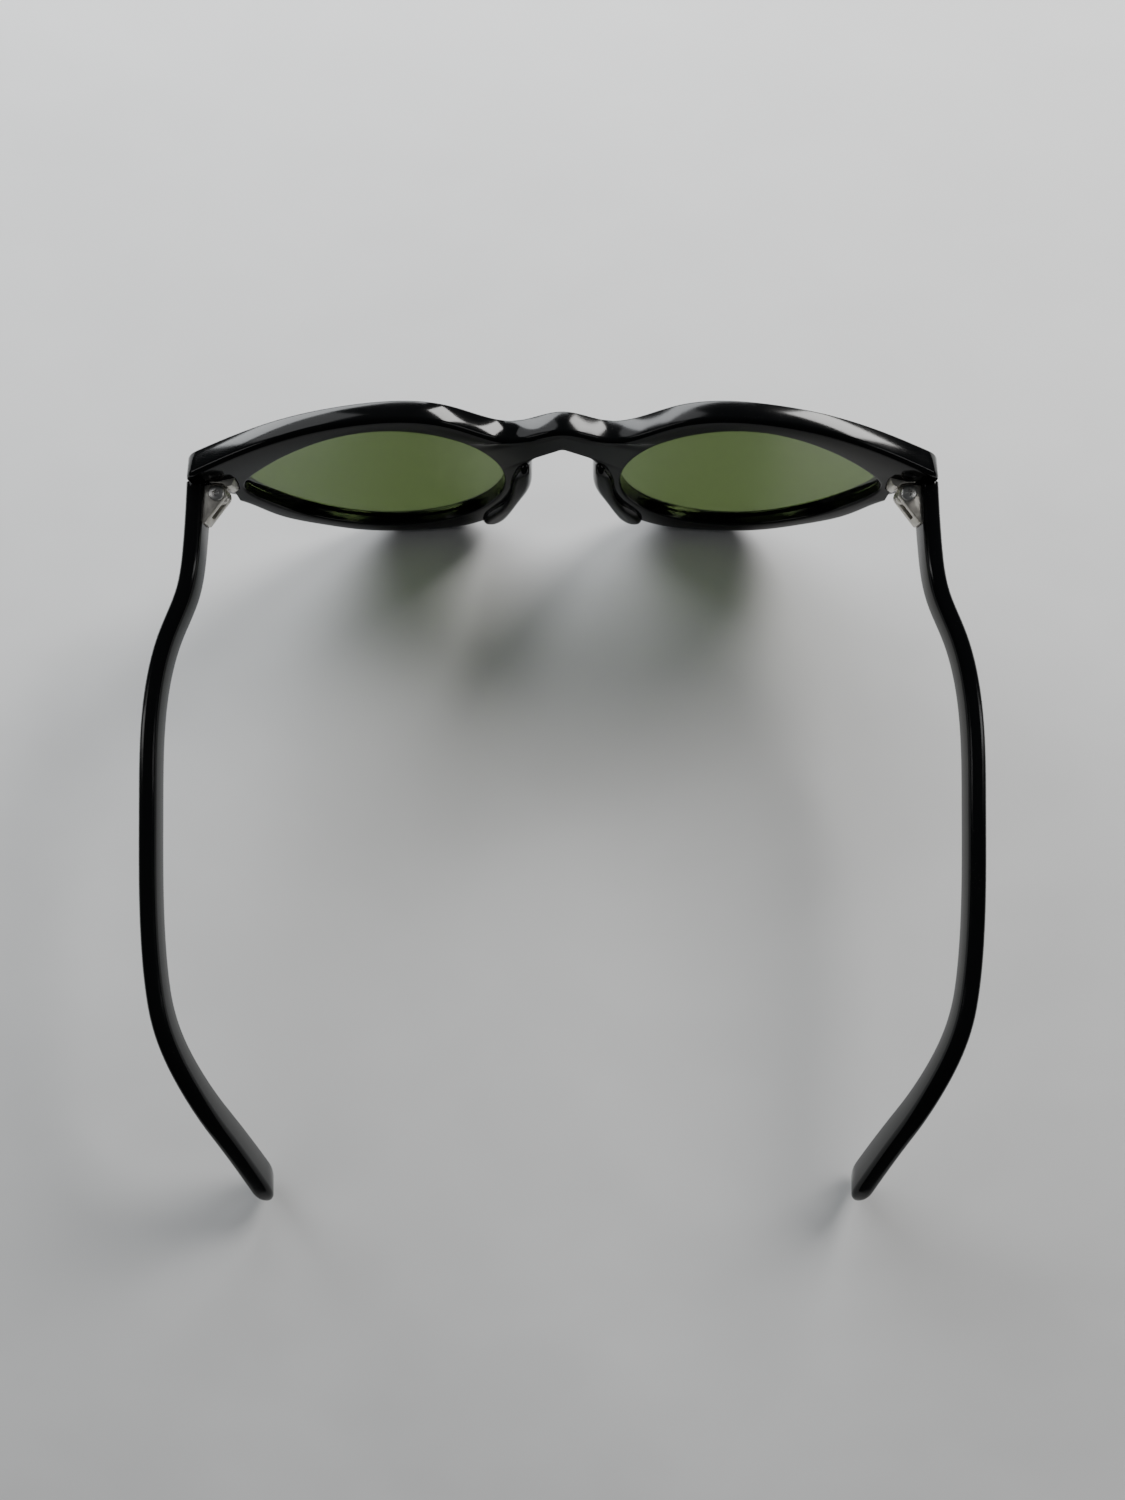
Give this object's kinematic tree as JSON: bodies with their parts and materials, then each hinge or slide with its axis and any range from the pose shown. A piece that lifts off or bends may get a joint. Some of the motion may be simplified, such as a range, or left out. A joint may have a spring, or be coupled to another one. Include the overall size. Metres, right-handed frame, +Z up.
{
  "type": "cat eye sunglasses",
  "caption": "Cat eye sunglasses: upswept acetate front with tinted lenses, fused nose pads, and slim temples that fold on barrel hinges.",
  "frame": {"origin": "on the surface it stands on, midway between the lenses and midway between the front and the temple tips", "axes": "+X to the wearer's right, +Y forward out of the lenses, +Z up, temples open"},
  "size_m": [0.1568, 0.1513, 0.045],
  "materials": {
    "acetate": "polished black acetate",
    "lens_tint": "bottle green tinted lens",
    "hinge_metal": "tumbled nickel silver",
    "screw_metal": "bright nickel-plated screw",
    "core_wire": "drawn nickel silver wire"
  },
  "bodies": {
    "front": {"front_frame": "acetate", "lens_left": "lens_tint", "lens_right": "lens_tint", "nose_pad_left": "acetate", "nose_pad_right": "acetate", "front_hinge_left": "hinge_metal", "front_hinge_right": "hinge_metal"},
    "temple_right_arm": {"temple_right": "acetate", "temple_core_right": "core_wire", "temple_hinge_right": "hinge_metal", "hinge_screw_right": "screw_metal"},
    "temple_left_arm": {"temple_left": "acetate", "temple_core_left": "core_wire", "temple_hinge_left": "hinge_metal", "hinge_screw_left": "screw_metal"}
  },
  "joints": [
    {"name": "fold_right", "type": "hinge", "parent": "front", "child": "temple_right_arm", "pos_m": [0.0647, 0.06221, 0.03182], "axis": [0, -0.0401, 0.9992], "range_deg": [-64, 0]},
    {"name": "fold_left", "type": "hinge", "parent": "front", "child": "temple_left_arm", "pos_m": [-0.0647, 0.06221, 0.03182], "axis": [0, -0.0401, 0.9992], "range_deg": [0, 87]}
  ]
}
